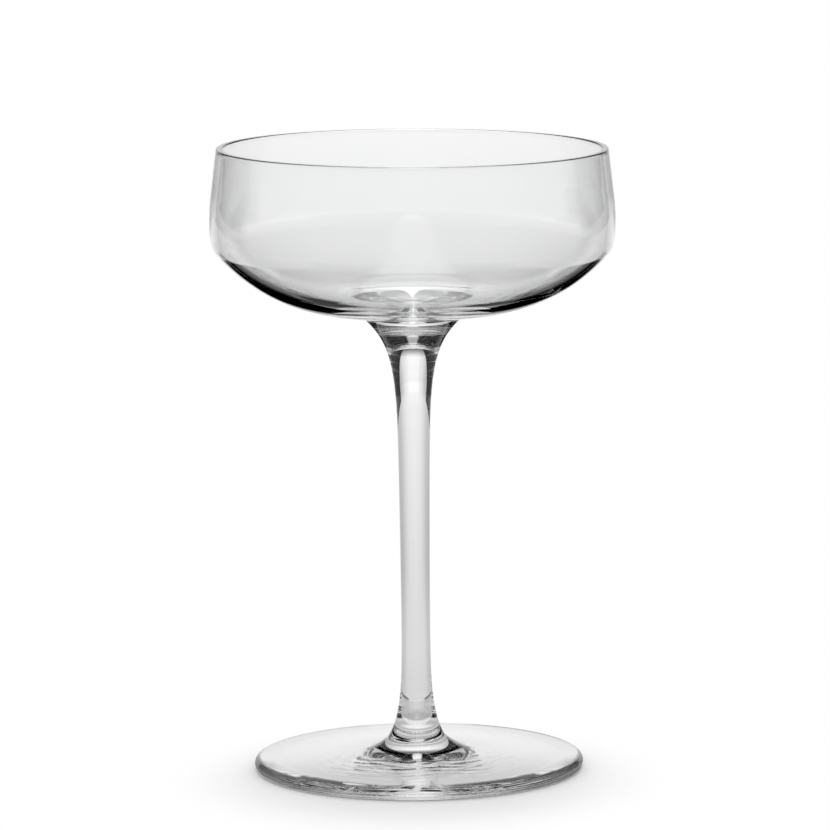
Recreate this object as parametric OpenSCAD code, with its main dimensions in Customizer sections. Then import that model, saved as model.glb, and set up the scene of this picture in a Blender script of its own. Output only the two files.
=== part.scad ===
// Coupe glass: a shallow blown bowl on a slim drawn stem with a round foot.
// Millimetres. +Z is up, and the origin is the middle of the ring that the foot rests on.

/* [Whole glass] */
// Height from the table to the rim
height = 160; // [150:1:172]
// Outer diameter at the rim
rim_d = 99.6; // [97:0.2:104]

/* [Bowl outside] */
// Thickness of the glass at the rim
rim_t = 1.63; // [1.4:0.01:1.8]
// Radius of the rim's two fire-polished corners
rim_round = 0.35; // [0.2:0.05:0.65]
// Lean of the outer wall, in degrees from upright
wall_lean = 6.66; // [5:0.1:8]
// Height of the straight part of the outer wall
wall_h = 12.1; // [11:0.1:13.4]
// Radius of the long bulge under the straight wall
bulge_r = 51.4; // [46:0.2:56]
// Slope where the bulge runs into the shoulder
bulge_turn = 5.1; // [4:0.1:7]
// Radius of the shoulder
shoulder_r = 6.6; // [6:0.1:8]
// Slope where the shoulder runs into the belly
shoulder_turn = 40.3; // [39.5:0.1:42]
// Radius of the belly, the underside of the bowl
belly_r = 43.6; // [42:0.2:46]
// How far the neck stands below the belly
neck_h = 2.2; // [1.8:0.1:2.8]

/* [Bowl inside] */
// Lean of the inner wall, so that the wall thickens downwards
inner_lean = 4.8; // [4:0.1:6]
// Height of the straight part of the inner wall
inner_wall_h = 12.8; // [11.6:0.1:14]
// Radius of the bulge inside
inner_bulge_r = 50; // [46:0.2:54]
// Slope where the inner bulge runs into the inner shoulder
inner_bulge_turn = 6.7; // [5:0.1:7.4]
// Radius of the shoulder inside
inner_shoulder_r = 5.2; // [4.4:0.1:5.8]
// Slope where the inner shoulder runs into the inner belly
inner_shoulder_turn = 42.6; // [41:0.1:43.6]
// Radius of the belly inside
inner_belly_r = 41.1; // [39.5:0.1:42]
// Slope where the inner belly runs into the dished floor
floor_turn = 8; // [3:0.5:10]

/* [Stem] */
// Diameter of the stem at its lower end, before the flares are added
stem_d = 6.8; // [6:0.1:8]
// Growth of the diameter from the lower end to the upper end
stem_taper = 1.8; // [0.6:0.1:2.4]
// Radius that the trumpet flare adds under the bowl
top_flare = 7.5; // [6.5:0.1:8]
// Distance over which the trumpet flare fades
top_fade = 7; // [6:0.1:8]
// Radius that the lower flare adds at the foot
base_flare = 3.8; // [3:0.1:4.6]
// Distance over which the lower flare fades
base_fade = 6.6; // [6:0.1:9]

/* [Foot] */
// Diameter of the foot
foot_d = 84.4; // [78:0.2:90]
// Thickness of the foot at its rounded edge
foot_edge = 3.2; // [2.4:0.1:3.6]
// Slope of the top of the foot, in degrees
foot_slope = 2.9; // [1:0.1:3.4]
// Height of the hub, where the stem is joined
hub_h = 8.4; // [7:0.1:9]
// Diameter of the hub where it runs out into the top of the foot
hub_d = 31.5; // [26:0.5:40]
// Width of the flat ring that touches the table
rest_w = 4.9; // [2.5:0.1:6]
// Height of the hollow in the middle of the underside
arch_h = 1; // [0.4:0.1:1.6]

/* [Hidden] */
$fn = 96;

rim_c = [rim_d / 2 - rim_round, height - rim_round];
lip_c = rim_c - [rim_t - 2 * rim_round, 0];

// Outer profile, from the rim down. Each arc starts where the last one ends, on the same normal.
wall_top = rim_c + rim_round * unit(wall_lean);
wall_foot = wall_top + wall_h * [tan(wall_lean), -1];
bulge_c = wall_foot - bulge_r * unit(wall_lean);
shoulder_c = next_centre(bulge_c, bulge_r, shoulder_r, -bulge_turn);
belly_c = next_centre(shoulder_c, shoulder_r, belly_r, -shoulder_turn);

// Inner profile, the same way
inner_top = lip_c - rim_round * unit(inner_lean);
inner_foot = inner_top + inner_wall_h * [tan(inner_lean), -1];
inner_bulge_c = inner_foot - inner_bulge_r * unit(inner_lean);
inner_shoulder_c = next_centre(inner_bulge_c, inner_bulge_r, inner_shoulder_r, -inner_bulge_turn);
inner_belly_c = next_centre(inner_shoulder_c, inner_shoulder_r, inner_belly_r, -inner_shoulder_turn);
floor_edge = inner_belly_c + inner_belly_r * unit(floor_turn - 90);
floor_r = floor_edge[0] / sin(floor_turn);
floor_c = [0, floor_edge[1] + floor_r * cos(floor_turn)];

// Stem, from the hub up to the neck
stem_top = belly_c[1] - belly_r - neck_h;
stem_len = stem_top - hub_h;
neck_r = stem_r(stem_top);
neck_slope = stem_slope(stem_top);

// Fillet between the neck and the belly, tangent to both
neck_edge = [neck_r, stem_top];
neck_normal = [1, -neck_slope] / norm([1, -neck_slope]);
neck_gap = neck_edge - belly_c;
fillet_r = (neck_gap * neck_gap - pow(belly_r, 2)) / (2 * (belly_r - neck_gap * neck_normal));
fillet_c = neck_edge + fillet_r * neck_normal;
fillet_end = angle_of(belly_c - fillet_c);
fillet_start = angle_of(-neck_normal);

// Foot, with a hub that is tangent to the top and meets the stem in a crease
edge_r = foot_edge / 2;
edge_c = [foot_d / 2 - edge_r, edge_r];
rest_r = edge_c[0] - rest_w;
hub_edge = [stem_r(hub_h), hub_h];
hub_end = [hub_d / 2, foot_edge + (edge_c[0] - hub_d / 2) * tan(foot_slope)];
hub_gap = hub_edge - hub_end;
hub_r = hub_gap * hub_gap / (2 * hub_gap * unit(90 - foot_slope));
hub_c = hub_end + hub_r * unit(90 - foot_slope);
hub_turn = angle_of(hub_edge - hub_c);
arch_r = (pow(rest_r, 2) + pow(arch_h, 2)) / (2 * arch_h);
arch_turn = asin(rest_r / arch_r);

glass = [0.86, 0.9, 0.91, 0.4];

function unit(a) = [cos(a), sin(a)];

function angle_of(v) = atan2(v[1], v[0]);

function next_centre(c, r, r_next, a) = c + (r - r_next) * unit(a);

function turn(c, r, from, to, n) = [for (i = [0 : n]) c + r * unit(from + (to - from) * i / n)];

// Radius of the stem at height z, the sum of a straight taper and two flares
function stem_r(z) =
  stem_d / 2 + stem_taper / 2 * (z - hub_h) / stem_len
  + top_flare * exp((z - stem_top) / top_fade)
  + base_flare * exp((hub_h - z) / base_fade);

// Rate at which that radius grows with height
function stem_slope(z) =
  stem_taper / 2 / stem_len
  + top_flare / top_fade * exp((z - stem_top) / top_fade)
  - base_flare / base_fade * exp((hub_h - z) / base_fade);

// Bowl with the neck below it, turned in one piece
module bowl() {
  color(glass)
  rotate_extrude()
  polygon(concat(
    [[0, stem_top]],
    turn(fillet_c, fillet_r, fillet_start, fillet_end, 8),
    turn(belly_c, belly_r, angle_of(fillet_c - belly_c), -shoulder_turn, 20),
    turn(shoulder_c, shoulder_r, -shoulder_turn, -bulge_turn, 10),
    turn(bulge_c, bulge_r, -bulge_turn, wall_lean, 8),
    turn(rim_c, rim_round, wall_lean, 90, 8),
    turn(lip_c, rim_round, 90, 180 + inner_lean, 8),
    turn(inner_bulge_c, inner_bulge_r, inner_lean, -inner_bulge_turn, 8),
    turn(inner_shoulder_c, inner_shoulder_r, -inner_bulge_turn, -inner_shoulder_turn, 10),
    turn(inner_belly_c, inner_belly_r, -inner_shoulder_turn, floor_turn - 90, 18),
    turn(floor_c, floor_r, floor_turn - 90, -90, 6)
  ));
}

// Solid drawn stem, with its stations close together where the flares are steep
module stem() {
  n = 44;
  color(glass)
  rotate_extrude()
  polygon(concat(
    [[0, hub_h]],
    [for (i = [0 : n]) let (z = hub_h + stem_len * (1 - cos(180 * i / n)) / 2) [stem_r(z), z]],
    [[0, stem_top]]
  ));
}

// Round foot with a hub in the middle, hollowed slightly below
module foot() {
  color(glass)
  rotate_extrude()
  polygon(concat(
    turn([0, arch_h - arch_r], arch_r, 90, 90 - arch_turn, 8),
    turn(edge_c, edge_r, -90, 0, 8),
    turn(edge_c, edge_r, 0, 90 - foot_slope, 8),
    turn(hub_c, hub_r, -90 - foot_slope, hub_turn, 10),
    [[0, hub_h]]
  ));
}

bowl();
stem();
foot();
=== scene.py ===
import math

import bmesh
import bpy
from mathutils import Matrix, Vector


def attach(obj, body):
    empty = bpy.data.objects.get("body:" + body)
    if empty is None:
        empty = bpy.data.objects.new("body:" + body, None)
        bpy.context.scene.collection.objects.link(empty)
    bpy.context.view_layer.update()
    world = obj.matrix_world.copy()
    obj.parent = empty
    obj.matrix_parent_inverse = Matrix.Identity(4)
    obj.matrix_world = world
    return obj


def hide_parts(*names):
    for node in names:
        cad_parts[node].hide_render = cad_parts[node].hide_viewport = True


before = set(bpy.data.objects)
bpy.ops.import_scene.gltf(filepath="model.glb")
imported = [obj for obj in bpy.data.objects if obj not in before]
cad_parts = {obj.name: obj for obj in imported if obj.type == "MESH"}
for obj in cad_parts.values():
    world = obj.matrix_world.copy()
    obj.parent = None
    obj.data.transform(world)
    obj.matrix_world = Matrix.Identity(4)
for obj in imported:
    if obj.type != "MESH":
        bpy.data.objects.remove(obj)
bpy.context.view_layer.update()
scene = bpy.context.scene

# Camera, as fitted to the photograph, in metres and degrees
PHOTO_PX = 830
FOCAL_PX = 5668.0
SENSOR_MM = 36.0
CAM_DISTANCE = 1.430
CAM_HEIGHT = 0.3034
CAM_PITCH = 8.43
CAM_ROLL = -0.60
CAM_SIDE = 0.00035

cam_data = bpy.data.cameras.new("camera")
cam_data.sensor_width = SENSOR_MM
cam_data.lens = SENSOR_MM * FOCAL_PX / PHOTO_PX
cam = bpy.data.objects.new("camera", cam_data)
scene.collection.objects.link(cam)
cam.location = (CAM_SIDE, -CAM_DISTANCE, CAM_HEIGHT)
aim = Matrix.Rotation(math.radians(90 - CAM_PITCH), 4, "X")
cam.rotation_mode = "QUATERNION"
cam.rotation_quaternion = (aim @ Matrix.Rotation(math.radians(CAM_ROLL), 4, "Z")).to_quaternion()
scene.camera = cam
scene.view_settings.view_transform = "Standard"

# Light runs through the bowl's walls and along inside the stem and the foot many times
cycles = scene.cycles
cycles.max_bounces = 40
cycles.transmission_bounces = 40
cycles.glossy_bounces = 16
cycles.diffuse_bounces = 3
cycles.transparent_max_bounces = 40
cycles.blur_glossy = 0.0

MM = 0.001

# Driving sizes of the glass, in millimetres and degrees, as in the part's source
HEIGHT = 160.0
RIM_D = 99.6
RIM_T = 1.63
RIM_ROUND = 0.35
WALL_LEAN = 6.66
WALL_H = 12.1
BULGE_R = 51.4
BULGE_TURN = 5.1
SHOULDER_R = 6.6
SHOULDER_TURN = 40.3
BELLY_R = 43.6
NECK_H = 2.2
INNER_LEAN = 4.8
INNER_WALL_H = 12.8
INNER_BULGE_R = 50.0
INNER_BULGE_TURN = 6.7
INNER_SHOULDER_R = 5.2
INNER_SHOULDER_TURN = 42.6
INNER_BELLY_R = 41.1
FLOOR_TURN = 8.0
STEM_D = 6.8
STEM_TAPER = 1.8
TOP_FLARE = 7.5
TOP_FADE = 7.0
BASE_FLARE = 3.8
BASE_FADE = 6.6
FOOT_D = 84.4
FOOT_EDGE = 3.2
FOOT_SLOPE = 2.9
HUB_H = 8.4
HUB_D = 31.5
REST_W = 4.9
ARCH_H = 1.0

# How the glass stands askew, as in the photograph: the tilt of the bowl in degrees, the shift of
# the foot, and the heights over which the two grow from nothing at the joints
BOWL_TILT = 0.45
TILT_BLEND = 10.0
FOOT_SHIFT = 0.45
SHIFT_BLEND = 3.5

# Slow waves that turning leaves on the inside of the belly, by the distance from the axis
WAVE_H = 0.03
WAVE_LENGTH = 4.0
WAVE_START = 4.0
WAVE_FADE_IN = 1.5
WAVE_FADE_OUT = 3.0
WAVE_END = 30.0

# Streaks that the shaping tool leaves on top of the foot, in front of the hub
STREAK_H = 0.09
STREAK_LENGTH = 3.6
STREAK_START = 13.0
STREAK_FADE_IN = 2.0
STREAK_END = 33.0
# Share of that height straight in front, and how much more it is to the left and less to the right
STREAK_FRONT = 0.8
STREAK_LEFT = 0.4
# Swings of their lines: size in radians, times round the foot and start in radians
STREAK_SWINGS = (2.4, 3, 1.0), (1.6, 8, 0.0)
# Where they are stronger and weaker: mean share of the height, size of its change, times round the
# foot, and how far and how fast these places wander as the radius grows
BREAK_LEVEL = 0.55
BREAK_SIZE = 0.45
BREAK_COUNT = 11
BREAK_WANDER = 2.5
BREAK_RATE = 0.5

# Fineness of the meshes
ROUND_SEGMENTS = 256
STEM_SEGMENTS = 160
STEM_STEPS = 150
WAVE_STEPS = 100
STREAK_STEPS = 70
SHARP_ANGLE = 30
SAME_POINT = 1e-4

# Glass: a trace of colour, and swells in its surface, by their depth in metres and their number to
# the metre
GLASS_TINT = (0.985, 0.99, 0.988)
GLASS_IOR = 1.5
SWELL_DEPTH = 0.00001
SWELL_COUNT = 60.0


def unit(a):
    return Vector((math.cos(math.radians(a)), math.sin(math.radians(a))))


def angle_of(v):
    return math.degrees(math.atan2(v[1], v[0]))


def next_centre(c, r, r_next, a):
    return c + (r - r_next) * unit(a)


def turn(c, r, start, end, n):
    return [c + r * unit(start + (end - start) * i / n) for i in range(n + 1)]


def line(a, b, n):
    return [a + (b - a) * (i / n) for i in range(n + 1)]


def chain(*runs):
    """Runs of points one after another, with the shared end points once."""
    points = []
    for run in runs:
        for p in run:
            if not points or (p - points[-1]).length > SAME_POINT:
                points.append(p)
    return points


def waved(run):
    """The run with the waves of the bowl's belly."""
    points = []
    for p in run:
        fade_in = min(1.0, max(0.0, p[0] - WAVE_START) / WAVE_FADE_IN)
        fade_out = min(1.0, max(0.0, WAVE_END - p[0]) / WAVE_FADE_OUT)
        rise = WAVE_H * (fade_in * fade_out) * math.sin(2 * math.pi * p[0] / WAVE_LENGTH)
        points.append(p + Vector((0, rise)))
    return points


def stem_r(z):
    return (
        STEM_D / 2
        + STEM_TAPER / 2 * (z - HUB_H) / stem_len
        + TOP_FLARE * math.exp((z - stem_top) / TOP_FADE)
        + BASE_FLARE * math.exp((HUB_H - z) / BASE_FADE)
    )


def stem_slope(z):
    return (
        STEM_TAPER / 2 / stem_len
        + TOP_FLARE / TOP_FADE * math.exp((z - stem_top) / TOP_FADE)
        - BASE_FLARE / BASE_FADE * math.exp((HUB_H - z) / BASE_FADE)
    )


# Centres and ends of the arcs, worked out as in the part's source: the bowl outside and inside, the
# stem, the fillet between neck and belly, and the foot
rim_c = Vector((RIM_D / 2 - RIM_ROUND, HEIGHT - RIM_ROUND))
wall_top = rim_c + RIM_ROUND * unit(WALL_LEAN)
wall_foot = wall_top + WALL_H * Vector((math.tan(math.radians(WALL_LEAN)), -1))
bulge_c = wall_foot - BULGE_R * unit(WALL_LEAN)
shoulder_c = next_centre(bulge_c, BULGE_R, SHOULDER_R, -BULGE_TURN)
belly_c = next_centre(shoulder_c, SHOULDER_R, BELLY_R, -SHOULDER_TURN)

lip_c = rim_c - Vector((RIM_T - 2 * RIM_ROUND, 0))
inner_top = lip_c - RIM_ROUND * unit(INNER_LEAN)
inner_foot = inner_top + INNER_WALL_H * Vector((math.tan(math.radians(INNER_LEAN)), -1))
inner_bulge_c = inner_foot - INNER_BULGE_R * unit(INNER_LEAN)
inner_shoulder_c = next_centre(inner_bulge_c, INNER_BULGE_R, INNER_SHOULDER_R, -INNER_BULGE_TURN)
inner_belly_c = next_centre(
    inner_shoulder_c, INNER_SHOULDER_R, INNER_BELLY_R, -INNER_SHOULDER_TURN
)
floor_edge = inner_belly_c + INNER_BELLY_R * unit(FLOOR_TURN - 90)
floor_r = floor_edge[0] / math.sin(math.radians(FLOOR_TURN))
floor_c = Vector((0, floor_edge[1] + floor_r * math.cos(math.radians(FLOOR_TURN))))

stem_top = belly_c[1] - BELLY_R - NECK_H
stem_len = stem_top - HUB_H

neck_edge = Vector((stem_r(stem_top), stem_top))
neck_normal = Vector((1, -stem_slope(stem_top))).normalized()
neck_gap = neck_edge - belly_c
fillet_r = (neck_gap.dot(neck_gap) - BELLY_R**2) / (2 * (BELLY_R - neck_gap.dot(neck_normal)))
fillet_c = neck_edge + fillet_r * neck_normal

edge_r = FOOT_EDGE / 2
edge_c = Vector((FOOT_D / 2 - edge_r, edge_r))
rest_r = edge_c[0] - REST_W
hub_edge = Vector((stem_r(HUB_H), HUB_H))
hub_end = Vector(
    (HUB_D / 2, FOOT_EDGE + (edge_c[0] - HUB_D / 2) * math.tan(math.radians(FOOT_SLOPE)))
)
hub_gap = hub_edge - hub_end
hub_r = hub_gap.dot(hub_gap) / (2 * hub_gap.dot(unit(90 - FOOT_SLOPE)))
hub_c = hub_end + hub_r * unit(90 - FOOT_SLOPE)
arch_r = (rest_r**2 + ARCH_H**2) / (2 * ARCH_H)
arch_turn = math.degrees(math.asin(rest_r / arch_r))

# Profiles, with the glass on the left. The last number of each run is its number of steps.
bowl_side = chain(
    turn(fillet_c, fillet_r, angle_of(-neck_normal), angle_of(belly_c - fillet_c), 14),
    turn(belly_c, BELLY_R, angle_of(fillet_c - belly_c), -SHOULDER_TURN, 48),
    turn(shoulder_c, SHOULDER_R, -SHOULDER_TURN, -BULGE_TURN, 14),
    turn(bulge_c, BULGE_R, -BULGE_TURN, WALL_LEAN, 14),
    line(wall_foot, wall_top, 12),
    turn(rim_c, RIM_ROUND, WALL_LEAN, 90, 12),
    turn(lip_c, RIM_ROUND, 90, 180 + INNER_LEAN, 12),
    line(inner_top, inner_foot, 12),
    turn(inner_bulge_c, INNER_BULGE_R, INNER_LEAN, -INNER_BULGE_TURN, 14),
    turn(inner_shoulder_c, INNER_SHOULDER_R, -INNER_BULGE_TURN, -INNER_SHOULDER_TURN, 14),
    waved(turn(inner_belly_c, INNER_BELLY_R, -INNER_SHOULDER_TURN, FLOOR_TURN - 90, WAVE_STEPS)),
    turn(floor_c, floor_r, FLOOR_TURN - 90, -90, 14),
)
stem_side = []
for i in range(STEM_STEPS + 1):
    z = HUB_H + stem_len * (1 - math.cos(math.pi * i / STEM_STEPS)) / 2
    stem_side.append(Vector((stem_r(z), z)))
foot_side = chain(
    turn(Vector((0, ARCH_H - arch_r)), arch_r, 90, 90 - arch_turn, 24),
    line(Vector((rest_r, 0)), Vector((edge_c[0], 0)), 3),
    turn(edge_c, edge_r, -90, 0, 12),
    turn(edge_c, edge_r, 0, 90 - FOOT_SLOPE, 12),
    line(edge_c + edge_r * unit(90 - FOOT_SLOPE), hub_end, STREAK_STEPS),
    turn(hub_c, hub_r, -90 - FOOT_SLOPE, angle_of(hub_edge - hub_c), 24),
)


def lathe(name, side, segments, first_joint, last_joint):
    """A closed body of revolution. Each end of the profile lies on the axis, or is closed by a
    disc, the joint to the next piece, as first_joint and last_joint say."""
    bm = bmesh.new()
    rings = []
    for p in side:
        if p[0] < SAME_POINT:
            rings.append([bm.verts.new((0, 0, p[1] * MM))])
            continue
        ring = []
        for k in range(segments):
            a = 2 * math.pi * k / segments
            at = (p[0] * MM * math.cos(a), p[0] * MM * math.sin(a), p[1] * MM)
            ring.append(bm.verts.new(at))
        rings.append(ring)
    for low, high in zip(rings, rings[1:]):
        for k in range(segments):
            n = (k + 1) % segments
            if len(low) == 1:
                bm.faces.new((low[0], high[n], high[k]))
            elif len(high) == 1:
                bm.faces.new((low[k], low[n], high[0]))
            else:
                bm.faces.new((low[k], low[n], high[n], high[k]))
    for ring, joint, flip in ((rings[0], first_joint, True), (rings[-1], last_joint, False)):
        if joint:
            hub = bm.verts.new((0, 0, ring[0].co.z))
            for k in range(segments):
                n = (k + 1) % segments
                ends = (ring[n], ring[k]) if flip else (ring[k], ring[n])
                face = bm.faces.new((*ends, hub))
                face.material_index = 1
    mesh = bpy.data.meshes.new(name)
    bm.to_mesh(mesh)
    bm.free()
    for face in mesh.polygons:
        face.use_smooth = face.material_index == 0
    mesh.set_sharp_from_angle(angle=math.radians(SHARP_ANGLE))
    piece = bpy.data.objects.new(name, mesh)
    scene.collection.objects.link(piece)
    return piece


def set_askew(piece):
    """Tip the bowl on its stem about the joint, more and more up to the full tilt."""
    for v in piece.data.vertices:
        up = v.co.z - stem_top * MM
        tilt = math.radians(BOWL_TILT) * min(1.0, up / (TILT_BLEND * MM))
        v.co.x, v.co.z = v.co.x + tilt * up, v.co.z - tilt * v.co.x


def set_aside(piece):
    """Carry the foot a little to one side of the stem, more and more down from the joint."""
    for v in piece.data.vertices:
        v.co.x += FOOT_SHIFT * MM * min(1.0, (HUB_H - v.co.z / MM) / SHIFT_BLEND)


def add_streaks(piece):
    """Raise and lower the top of the foot along the streaks. The angle is 0 straight in front."""
    for v in piece.data.vertices:
        r = math.hypot(v.co.x, v.co.y) / MM
        if v.co.z / MM > FOOT_EDGE and STREAK_START < r < STREAK_END:
            a = math.atan2(v.co.x, -v.co.y)
            fade_in = min(1.0, (r - STREAK_START) / STREAK_FADE_IN)
            fade_out = (STREAK_END - r) / (STREAK_END - STREAK_START)
            front = max(0.0, math.cos(a)) ** 0.5 * (STREAK_FRONT - STREAK_LEFT * math.sin(a))
            wander = BREAK_WANDER * math.sin(BREAK_RATE * r)
            broken = BREAK_LEVEL + BREAK_SIZE * math.sin(BREAK_COUNT * a + wander)
            phase = 2 * math.pi * r / STREAK_LENGTH
            for size, times, start in STREAK_SWINGS:
                phase += size * math.sin(times * a + start)
            v.co.z += STREAK_H * MM * (fade_in * fade_out) * front * broken * math.sin(phase)


def clear_glass(name):
    """Clear glass with a faint unevenness of surface, as fire polishing leaves."""
    m = bpy.data.materials.new(name)
    m.use_nodes = True
    nodes, links = m.node_tree.nodes, m.node_tree.links
    p = nodes["Principled BSDF"]
    p.inputs["Base Color"].default_value = (*GLASS_TINT, 1)
    p.inputs["Roughness"].default_value = 0.0
    p.inputs["IOR"].default_value = GLASS_IOR
    p.inputs["Transmission Weight"].default_value = 1.0
    coords = nodes.new("ShaderNodeTexCoord")
    noise = nodes.new("ShaderNodeTexNoise")
    noise.inputs["Scale"].default_value = SWELL_COUNT
    noise.inputs["Detail"].default_value = 1.0
    bump = nodes.new("ShaderNodeBump")
    bump.inputs["Strength"].default_value = 1.0
    bump.inputs["Distance"].default_value = SWELL_DEPTH
    links.new(coords.outputs["Object"], noise.inputs["Vector"])
    links.new(noise.outputs["Fac"], bump.inputs["Height"])
    links.new(bump.outputs["Normal"], p.inputs["Normal"])
    return m


def fused_joint():
    """The hot joint inside the glass, where nothing is to be seen."""
    m = bpy.data.materials.new("fused_joint")
    m.use_nodes = True
    nodes, links = m.node_tree.nodes, m.node_tree.links
    nodes.remove(nodes["Principled BSDF"])
    clear = nodes.new("ShaderNodeBsdfTransparent")
    links.new(clear.outputs["BSDF"], nodes["Material Output"].inputs["Surface"])
    return m


joint = fused_joint()
for name, side, segments, ends in (
    ("bowl", bowl_side, ROUND_SEGMENTS, (True, False)),
    ("stem", stem_side, STEM_SEGMENTS, (True, True)),
    ("foot", foot_side, ROUND_SEGMENTS, (False, True)),
):
    piece = lathe(name + "_glass", side, segments, *ends)
    if name == "bowl":
        set_askew(piece)
    if name == "foot":
        add_streaks(piece)
        set_aside(piece)
    piece.data.materials.append(clear_glass(name + "_clear"))
    piece.data.materials.append(joint)
    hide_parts(name)
    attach(piece, "root")


class Graph:
    """Short names for building a node tree."""

    def __init__(self, tree):
        self.nodes, self.links = tree.nodes, tree.links

    def put(self, n, i, v):
        if isinstance(v, (int, float, tuple)):
            n.inputs[i].default_value = v
        else:
            self.links.new(v, n.inputs[i])

    def value(self, op, *args):
        n = self.nodes.new("ShaderNodeMath")
        n.operation = op
        for i, v in enumerate(args):
            self.put(n, i, v)
        return n.outputs[0]

    def add(self, *args):
        total = args[0]
        for v in args[1:]:
            total = self.value("ADD", total, v)
        return total

    def times(self, *args):
        total = args[0]
        for v in args[1:]:
            total = self.value("MULTIPLY", total, v)
        return total

    def less(self, v):
        return self.value("SUBTRACT", 1.0, v)

    def step(self, v, low, high):
        """0 below low, 1 above high, smooth between."""
        n = self.nodes.new("ShaderNodeMapRange")
        n.interpolation_type = "SMOOTHSTEP"
        self.put(n, "Value", v)
        n.inputs["From Min"].default_value = low
        n.inputs["From Max"].default_value = high
        return n.outputs["Result"]

    def border(self, v, at, soft):
        """0 before at and 1 past it, smooth over the width soft to either side."""
        return self.step(v, at - soft, at + soft)

    def curve(self, v, stops):
        """The level that straight lines between the stops give at v."""
        last = stops[-1][0]
        n = self.nodes.new("ShaderNodeValToRGB")
        points = n.color_ramp.elements
        while len(points) < len(stops):
            points.new(0.5)
        for point, (at, level) in zip(points, stops):
            point.position = at / last
            point.color = (level, level, level, 1)
        self.put(n, 0, self.times(v, 1 / last))
        return n.outputs["Color"]

    def mix(self, share, a, b):
        """a where share is 0 and b where it is 1."""
        return self.add(self.times(self.less(share), a), self.times(share, b))

    def mix_shaders(self, share, a, b):
        n = self.nodes.new("ShaderNodeMixShader")
        self.links.new(share, n.inputs[0])
        self.links.new(a, n.inputs[1])
        self.links.new(b, n.inputs[2])
        return n.outputs[0]

    def facing(self):
        """0 where the surface is seen face on, up to 1 where it is seen edge on."""
        n = self.nodes.new("ShaderNodeLayerWeight")
        n.inputs["Blend"].default_value = 0.5
        return n.outputs["Facing"]

    def split(self, socket):
        n = self.nodes.new("ShaderNodeSeparateXYZ")
        self.links.new(socket, n.inputs[0])
        return [n.outputs[i] for i in range(3)]

    def length(self, x, y):
        return self.value("SQRT", self.add(self.times(x, x), self.times(y, y)))

    def degrees(self, v):
        return self.times(v, 180 / math.pi)

    def aside(self, x, y):
        """Angle from the direction straight behind the glass, to either side."""
        return self.value("ABSOLUTE", self.degrees(self.value("ARCTAN2", x, y)))

    def rays(self):
        """Camera rays, and the rays that run through the glass or are mirrored by it."""
        n = self.nodes.new("ShaderNodeLightPath")
        through, mirrored = n.outputs["Is Transmission Ray"], n.outputs["Is Glossy Ray"]
        return n.outputs["Is Camera Ray"], self.value("MAXIMUM", through, mirrored)

    def glow(self, strength, kind="ShaderNodeEmission"):
        n = self.nodes.new(kind)
        n.inputs["Color"].default_value = (1, 1, 1, 1)
        self.put(n, "Strength", strength)
        return n.outputs[0]


# Table top, in metres. The camera sees it white, with the real shade close round the foot: in an
# oval that lies a little in front and ends softly between the two distances of SHADE_END.
# TABLE_LIFT is light added there, and FAR_BOUNCE the level outside the oval for any ray that
# neither comes from the camera nor from the glass.
TABLE_REACH = 12.0
TABLE_GAP = 0.00003
TABLE_COLOUR = 0.9
TABLE_LIFT = 0.06
SHADE_END = 0.042, 0.078
SHADE_WIDTH = 1.15
SHADE_AHEAD = 0.012
FAR_BOUNCE = 0.85

# Painted light and shade: the glass sees the table as a glow whose tones stand in for the light and
# shade on it. It is darker round and under the foot and brighter in a wedge straight behind, and
# its level changes with the angle at which the ray meets it.
# What the glass shows of the table goes by the distance from its middle in metres (radius), by the
# angle from straight behind in degrees (aside), and by how steeply the ray meets the table in
# degrees (down). A tone or a fade is a row of stops, each a measure and its level. Two numbers by
# themselves are the measures between which one part gives way to the next.

# Behind the glass: the table, which turns up into a white wall at SWEEP_Y, and its two sides
BEHIND_END = 66.0, 74.0
SWEEP_Y = 1.3
SWEEP_Y_SOFT = 0.05
SWEEP_HALF_WIDTH = 0.8
SWEEP_SIDE_SOFT = 0.02
WALL_START = 1.0, 2.4
WALL_EDGE = 32.5
WALL_SOFT = 1.0
SIDE_START = 0.15, 0.35
FAR_TONE = (
    (0, 0.70),
    (0.06, 0.75),
    (0.34, 0.78),
    (0.57, 0.85),
    (0.8, 0.89),
    (1.3, 0.92),
    (4.0, 1.0),
)
NEAR_FADE = (0, 1.0), (20, 0.97), (28, 0.92), (40, 0.77), (90, 0.77)
SIDE_FADE = (
    (0, 1.0),
    (12, 0.96),
    (20, 0.88),
    (30, 0.73),
    (36, 0.63),
    (44, 0.58),
    (60, 0.56),
    (90, 0.56),
)
WALL_FADE = (0, 1.07), (8, 1.06), (13, 0.93), (18, 0.84), (24, 0.62), (30, 0.50), (90, 0.5)

# Beside and in front of the glass
BESIDE_TONE = 0.7
FRONT_START = 110.0, 130.0
FRONT_TONE = (0, 0.35), (0.2, 0.35), (0.4, 0.8), (1.0, 0.8)

# Painted shade near the foot, in a ring round it and under it, by the angle down
NEAR_RADIUS = 0.14
NEAR_SOFT = 0.01
NEAR_TONE = (
    (0, 0.76),
    (12, 0.75),
    (16, 0.70),
    (20, 0.68),
    (30, 0.30),
    (50, 0.30),
    (62, 0.60),
    (90, 0.80),
)
RING_RADIUS = 0.052
RING_SOFT = 0.0005
RING_SHADE_TONE = (
    (0, 0),
    (5, 0.02),
    (9, 0.45),
    (12.5, 0.68),
    (14, 0.3),
    (17, 0.15),
    (22, 0.1),
    (90, 0.2),
)
UNDER_RADIUS = 0.0418
UNDER_SHADE_TONE = (
    (0, 0.55),
    (7, 0.56),
    (10, 0.66),
    (16, 0.78),
    (22, 0.77),
    (30, 0.60),
    (42, 0.50),
    (60, 0.95),
    (90, 1.0),
)

# Lighter part of the painted shade ring, straight behind the foot
RING_BACK_TONE = 0.68
RING_BACK_END = 14.0, 24.0
RING_BACK_DOWN = 14.0, 16.0

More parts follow.
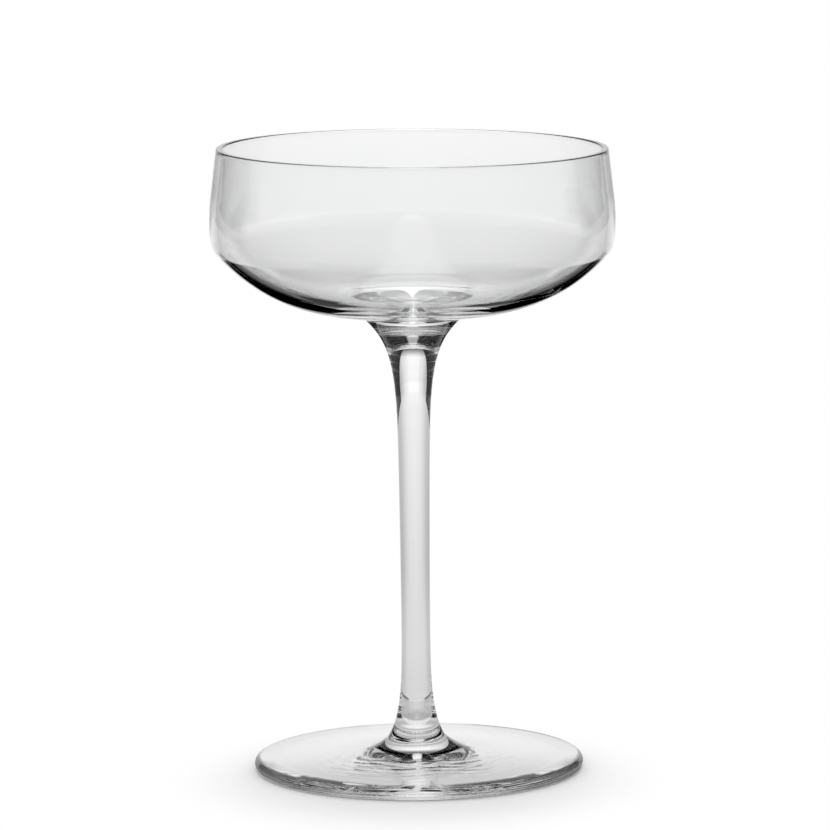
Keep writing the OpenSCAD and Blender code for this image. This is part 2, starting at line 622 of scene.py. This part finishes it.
# Black part to both sides behind the glass. It starts further down near the foot, and the angle
# down at which it ends falls further to the side.
DARK_SIDE_START = 8.5, 12.5
DARK_SIDE_END = 28.0, 38.0
DARK_START = 14.0, 17.0
DARK_START_NEAR = 24.0, 28.0
DARK_END = 38.0
DARK_END_SOFT = 1.5
DARK_END_FALL = 8.0
DARK_FALL_SIDE = 30.0, 38.0

# Painted light: a bright wedge straight behind the glass, in place of light that the glass focuses
# onto the table
WEDGE_ANGLE = 2.5
WEDGE_SOFT = 0.4
WEDGE_START = 0.05, 0.06
WEDGE_DOWN = 20.0, 24.0
WEDGE_LIGHT_TONE = 1.2


def sweep_tone(g, x, y, radius, aside, near_fade):
    """The table behind the glass and the foot of the wall, with black past their sides."""
    fade = g.mix(g.step(radius, *SIDE_START), near_fade, g.curve(aside, SIDE_FADE))
    top = g.times(g.curve(radius, FAR_TONE), fade)
    tone = g.mix(g.step(radius, *WALL_START), top, g.curve(aside, WALL_FADE))
    table_side = g.border(g.value("ABSOLUTE", x), SWEEP_HALF_WIDTH, SWEEP_SIDE_SOFT)
    wall_side = g.border(aside, WALL_EDGE, WALL_SOFT)
    past = g.mix(g.border(y, SWEEP_Y, SWEEP_Y_SOFT), table_side, wall_side)
    return g.times(tone, g.less(past))


def dark_part(g, down, aside, away):
    """1 in the black part to both sides behind the glass."""
    end = g.add(DARK_END, g.times(g.step(aside, *DARK_FALL_SIDE), -DARK_END_FALL))
    return g.times(
        g.step(down, *DARK_START),
        g.less(g.border(g.value("SUBTRACT", down, end), 0.0, DARK_END_SOFT)),
        g.step(aside, *DARK_SIDE_START),
        g.less(g.step(aside, *DARK_SIDE_END)),
        g.value("MAXIMUM", away, g.step(down, *DARK_START_NEAR)),
    )


def painted_table_tone(g, x, y, radius):
    """The table as the glass shows it: a glow with painted light and shade in it."""
    down = g.degrees(g.value("ARCSINE", g.less(g.facing())))
    aside = g.aside(x, y)
    away = g.border(radius, NEAR_RADIUS, NEAR_SOFT)
    near_fade = g.curve(aside, NEAR_FADE)

    behind = g.less(g.step(aside, *BEHIND_END))
    tone = g.mix(behind, BESIDE_TONE, sweep_tone(g, x, y, radius, aside, near_fade))
    tone = g.mix(away, g.times(g.curve(down, NEAR_TONE), near_fade), tone)
    tone = g.times(tone, g.less(dark_part(g, down, aside, away)))
    tone = g.mix(g.step(aside, *FRONT_START), tone, g.curve(radius, FRONT_TONE))

    # Painted shade: a dark ring round the foot, lighter straight behind it, and a darker area under
    # the foot
    ring_back = g.times(
        g.less(g.step(aside, *RING_BACK_END)), g.step(down, *RING_BACK_DOWN), RING_BACK_TONE
    )
    ring = g.value("MAXIMUM", g.curve(down, RING_SHADE_TONE), ring_back)
    for edge, inside in ((RING_RADIUS, ring), (UNDER_RADIUS, g.curve(down, UNDER_SHADE_TONE))):
        tone = g.mix(g.border(radius, edge, RING_SOFT), inside, tone)

    # Painted light: the bright wedge straight behind the glass
    painted_light_wedge = g.times(
        g.less(g.border(aside, WEDGE_ANGLE, WEDGE_SOFT)),
        g.step(radius, *WEDGE_START),
        g.step(down, *WEDGE_DOWN),
    )
    return g.mix(painted_light_wedge, tone, WEDGE_LIGHT_TONE)


corners = (-1, -1), (1, -1), (1, 1), (-1, 1)
table_mesh = bpy.data.meshes.new("table")
table_mesh.from_pydata(
    [(x * TABLE_REACH, y * TABLE_REACH, -TABLE_GAP) for x, y in corners], [], [(0, 1, 2, 3)]
)
table = bpy.data.objects.new("table", table_mesh)
scene.collection.objects.link(table)
table_mat = bpy.data.materials.new("table")
table_mat.use_nodes = True
g = Graph(table_mat.node_tree)
g.nodes.remove(g.nodes["Principled BSDF"])
coords = g.nodes.new("ShaderNodeTexCoord")
x, y, z = g.split(coords.outputs["Object"])
camera, by_glass = g.rays()
diffuse = g.nodes.new("ShaderNodeBsdfDiffuse")
diffuse.inputs["Color"].default_value = (TABLE_COLOUR, TABLE_COLOUR, TABLE_COLOUR, 1)
shaded = g.nodes.new("ShaderNodeAddShader")
g.links.new(diffuse.outputs[0], shaded.inputs[0])
g.links.new(g.glow(g.times(camera, TABLE_LIFT)), shaded.inputs[1])
white = g.glow(g.add(camera, g.times(g.less(camera), FAR_BOUNCE)))
shade_r = g.length(g.times(x, SHADE_WIDTH), g.add(y, SHADE_AHEAD))
plain = g.mix_shaders(g.step(shade_r, *SHADE_END), shaded.outputs[0], white)
# The glass sees the table as a glow with painted light and shade in it. The camera sees the white
# table with its real shade.
shown = g.mix_shaders(by_glass, plain, g.glow(painted_table_tone(g, x, y, g.length(x, y))))
g.links.new(shown, g.nodes["Material Output"].inputs["Surface"])
table.data.materials.append(table_mat)

# World: white for the camera, and AMBIENT for the light on the table. The glass sees the white
# wall behind the table, whose sides lean in upwards, a long narrow light overhead, a low pale band
# from the sides round to the front, and dark between them. Angles are in degrees.
AMBIENT = 0.9
WALL_SLANT = 0.8
WALL_TOP = (
    (0, 0.93),
    (11, 0.96),
    (13, 0.88),
    (16, 0.56),
    (20, 0.28),
    (23, 0.16),
    (35, 0.16),
    (45, 0),
    (90, 0),
)
BAND_TONE = 0.8
BAND_START = 70.0, 84.0
BAND_TOP = 7.0, 11.0
STRIP_SLOPE = 0.125
STRIP_SLOPE_SOFT = 0.03
STRIP_END = 26.0
STRIP_END_SOFT = 1.0
STRIP_TONE = (
    (0, 0.40),
    (28, 0.40),
    (40, 0.80),
    (46, 1.0),
    (52, 1.0),
    (60, 0.60),
    (68, 0.45),
    (90, 0.40),
)
LEAST_Z = 0.001

world = bpy.data.worlds.new("world")
scene.world = world
world.use_nodes = True
g = Graph(world.node_tree)
g.nodes.clear()
coords = g.nodes.new("ShaderNodeTexCoord")
x, y, z = g.split(coords.outputs["Generated"])
elevation = g.degrees(g.value("ARCSINE", z))
over = g.value("MAXIMUM", elevation, 0.0)
aside = g.aside(x, y)
camera, by_glass = g.rays()

edge = g.add(WALL_EDGE, g.times(over, -WALL_SLANT))
wall = g.times(
    g.less(g.border(g.value("SUBTRACT", aside, edge), 0.0, WALL_SOFT)),
    g.curve(aside, WALL_FADE),
    g.curve(over, WALL_TOP),
)
across = g.value("DIVIDE", g.value("ABSOLUTE", x), g.value("MAXIMUM", z, LEAST_Z))
strip = g.times(
    g.less(g.border(across, STRIP_SLOPE, STRIP_SLOPE_SOFT)),
    g.border(elevation, STRIP_END, STRIP_END_SOFT),
    g.curve(elevation, STRIP_TONE),
)
band = g.times(g.step(aside, *BAND_START), g.less(g.step(elevation, *BAND_TOP)), BAND_TONE)
others = g.less(g.add(camera, by_glass))
shown = g.times(by_glass, g.add(wall, strip, band))
strength = g.add(camera, shown, g.times(others, AMBIENT))
out = g.nodes.new("ShaderNodeOutputWorld")
g.links.new(g.glow(strength, "ShaderNodeBackground"), out.inputs["Surface"])

# Softbox over the table, for its shade only: the glass neither mirrors it nor shows it through
LAMP_AT = Vector((0.0, 0.25, 1.5))
LAMP_AIM = Vector((0, 0, 0.09))
LAMP_SIZE = 0.7
LAMP_WATTS = 6.0

lamp_data = bpy.data.lights.new("top_light", "AREA")
lamp_data.shape = "RECTANGLE"
lamp_data.size = lamp_data.size_y = LAMP_SIZE
lamp_data.energy = LAMP_WATTS
lamp = bpy.data.objects.new("top_light", lamp_data)
scene.collection.objects.link(lamp)
lamp.location = LAMP_AT
lamp.visible_glossy = False
lamp.visible_transmission = False
lamp.rotation_mode = "QUATERNION"
lamp.rotation_quaternion = (LAMP_AIM - LAMP_AT).to_track_quat("-Z", "Y")
